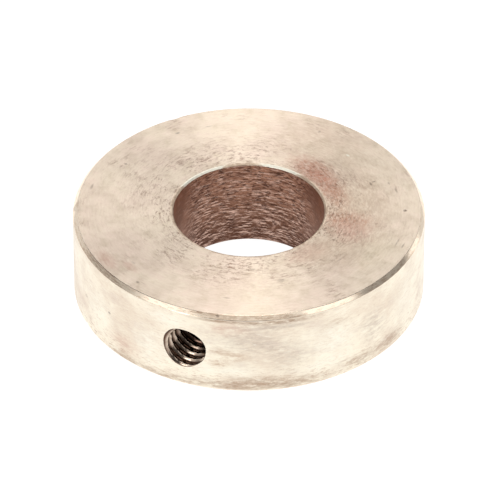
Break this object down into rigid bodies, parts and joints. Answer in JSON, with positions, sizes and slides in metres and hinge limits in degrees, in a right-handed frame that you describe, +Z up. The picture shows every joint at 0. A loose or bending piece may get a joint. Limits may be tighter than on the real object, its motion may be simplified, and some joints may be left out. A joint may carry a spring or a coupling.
{
  "type": "set-screw shaft collar",
  "caption": "Solid steel shaft collar with a plain bore, held by a hex-socket set screw with a soft tip in a radial tapped hole.",
  "frame": {"origin": "on the bore axis, in the plane of the lower end face that the collar lies on", "axes": "+Z up the bore axis; the tapped hole and its set screw run out along -Y at half the width"},
  "size_m": [0.0444, 0.0444, 0.0119],
  "materials": {
    "collar_steel": "turned steel, worn and lightly stained, fine concentric tool marks on the end faces",
    "screw_steel": "black oxide alloy steel, lightly oiled",
    "tip_brass": "turned brass"
  },
  "bodies": {
    "collar": {"collar_body": "collar_steel"},
    "tip": {"set_screw_tip": "tip_brass"},
    "screw": {"set_screw": "screw_steel"}
  },
  "joints": [
    {"name": "set_screw_travel", "type": "slide", "parent": "collar", "child": "tip", "axis": [0, 1, 0], "range_m": [-0.00889, 0.00127]},
    {"name": "set_screw_turn", "type": "hinge", "parent": "tip", "child": "screw", "pos_m": [0, -0.0128, 0.00595], "axis": [0, 1, 0], "range_deg": [-2520, 360]}
  ],
  "couplings": [
    {"joint": "set_screw_turn", "follows": "set_screw_travel", "rad_per_m": 4947.4}
  ]
}
